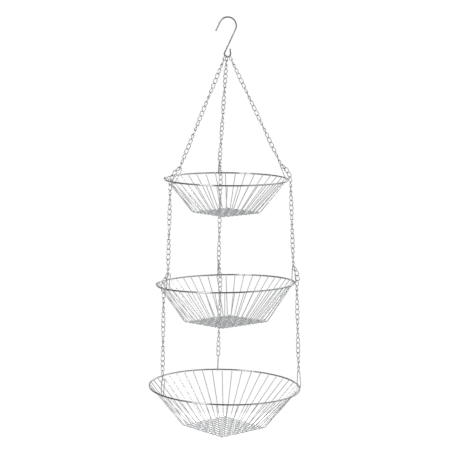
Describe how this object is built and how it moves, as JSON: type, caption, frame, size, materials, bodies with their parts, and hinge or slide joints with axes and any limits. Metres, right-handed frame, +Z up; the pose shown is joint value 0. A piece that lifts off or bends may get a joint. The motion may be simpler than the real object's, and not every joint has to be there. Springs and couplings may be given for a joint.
{
  "type": "three-tier hanging wire basket",
  "caption": "Three tiered round wire baskets on three hanging curb chains, with long wire clips at the rims and an S-hook at the top.",
  "frame": {"origin": "the seat: the inner top of the S-hook's upper bend, where the ceiling hook bears", "axes": "+Z up along the hang line, +X to the right and +Y to the back as pictured"},
  "size_m": [0.3016, 0.3017, 0.807],
  "materials": {
    "chrome": "polished"
  },
  "bodies": {
    "s_hook": {"s_hook": "chrome"},
    "top_tier": {"top_chain_back": "chrome", "top_chain_left": "chrome", "top_chain_right": "chrome", "top_clip_back": "chrome", "top_clip_left": "chrome", "top_clip_right": "chrome", "top_rim": "chrome", "top_rim_links_back": "chrome", "top_rim_links_left": "chrome", "top_rim_links_right": "chrome", "top_wires_lower": "chrome", "top_wires_upper": "chrome"},
    "middle_strand_left": {"middle_chain_left": "chrome"},
    "middle_strand_back": {"middle_chain_back": "chrome"},
    "middle_strand_right": {"middle_chain_right": "chrome"},
    "middle_tier": {"middle_clip_back": "chrome", "middle_clip_left": "chrome", "middle_clip_right": "chrome", "middle_rim": "chrome", "middle_rim_links_back": "chrome", "middle_rim_links_left": "chrome", "middle_rim_links_right": "chrome", "middle_wires_lower": "chrome", "middle_wires_upper": "chrome"},
    "bottom_strand_left": {"bottom_chain_left": "chrome"},
    "bottom_strand_back": {"bottom_chain_back": "chrome"},
    "bottom_strand_right": {"bottom_chain_right": "chrome"},
    "bottom_tier": {"bottom_clip_back": "chrome", "bottom_clip_left": "chrome", "bottom_clip_right": "chrome", "bottom_rim": "chrome", "bottom_wires_lower": "chrome", "bottom_wires_upper": "chrome"}
  },
  "joints": [
    {"name": "hook_rock", "type": "hinge", "parent": "s_hook", "child": "top_tier", "pos_m": [0, 0, -0.0736], "axis": [1, 0, 0], "range_deg": [-15, 15]},
    {"name": "middle_sway_left", "type": "hinge", "parent": "top_tier", "child": "middle_strand_left", "pos_m": [-0.10553, -0.06586, -0.31477], "axis": [0, 1, 0], "range_deg": [-8, 8]},
    {"name": "middle_sway_back", "type": "hinge", "parent": "top_tier", "child": "middle_strand_back", "pos_m": [-0.01272, 0.12459, -0.31474], "axis": [0, 1, 0], "range_deg": [-7.79, 7.79]},
    {"name": "middle_sway_right", "type": "hinge", "parent": "top_tier", "child": "middle_strand_right", "pos_m": [0.12535, 0.0095, -0.31479], "axis": [0, 1, 0], "range_deg": [-8.14, 8.14]},
    {"name": "middle_level", "type": "hinge", "parent": "middle_strand_left", "child": "middle_tier", "pos_m": [-0.10977, -0.07565, -0.48412], "axis": [0, 1, 0], "range_deg": [-7.68, 7.68]},
    {"name": "bottom_sway_left", "type": "hinge", "parent": "middle_tier", "child": "bottom_strand_left", "pos_m": [-0.11639, -0.07551, -0.52063], "axis": [0, 1, 0], "range_deg": [-8, 8]},
    {"name": "bottom_sway_back", "type": "hinge", "parent": "middle_tier", "child": "bottom_strand_back", "pos_m": [-0.0121, 0.13921, -0.5265], "axis": [0, 1, 0], "range_deg": [-8.27, 8.27]},
    {"name": "bottom_sway_right", "type": "hinge", "parent": "middle_tier", "child": "bottom_strand_right", "pos_m": [0.14026, 0.00853, -0.5186], "axis": [0, 1, 0], "range_deg": [-7.79, 7.79]},
    {"name": "bottom_level", "type": "hinge", "parent": "bottom_strand_left", "child": "bottom_tier", "pos_m": [-0.1189, -0.08629, -0.68858], "axis": [0, 1, 0], "range_deg": [-7.82, 7.82]}
  ],
  "couplings": [
    {"joint": "middle_sway_back", "follows": "middle_sway_left", "ratio": 0.9669},
    {"joint": "middle_sway_right", "follows": "middle_sway_left", "ratio": 1.0118},
    {"joint": "middle_level", "follows": "middle_sway_left", "ratio": -0.9543},
    {"joint": "bottom_sway_back", "follows": "bottom_sway_left", "ratio": 1.0273},
    {"joint": "bottom_sway_right", "follows": "bottom_sway_left", "ratio": 0.9669},
    {"joint": "bottom_level", "follows": "bottom_sway_left", "ratio": -0.9718}
  ]
}
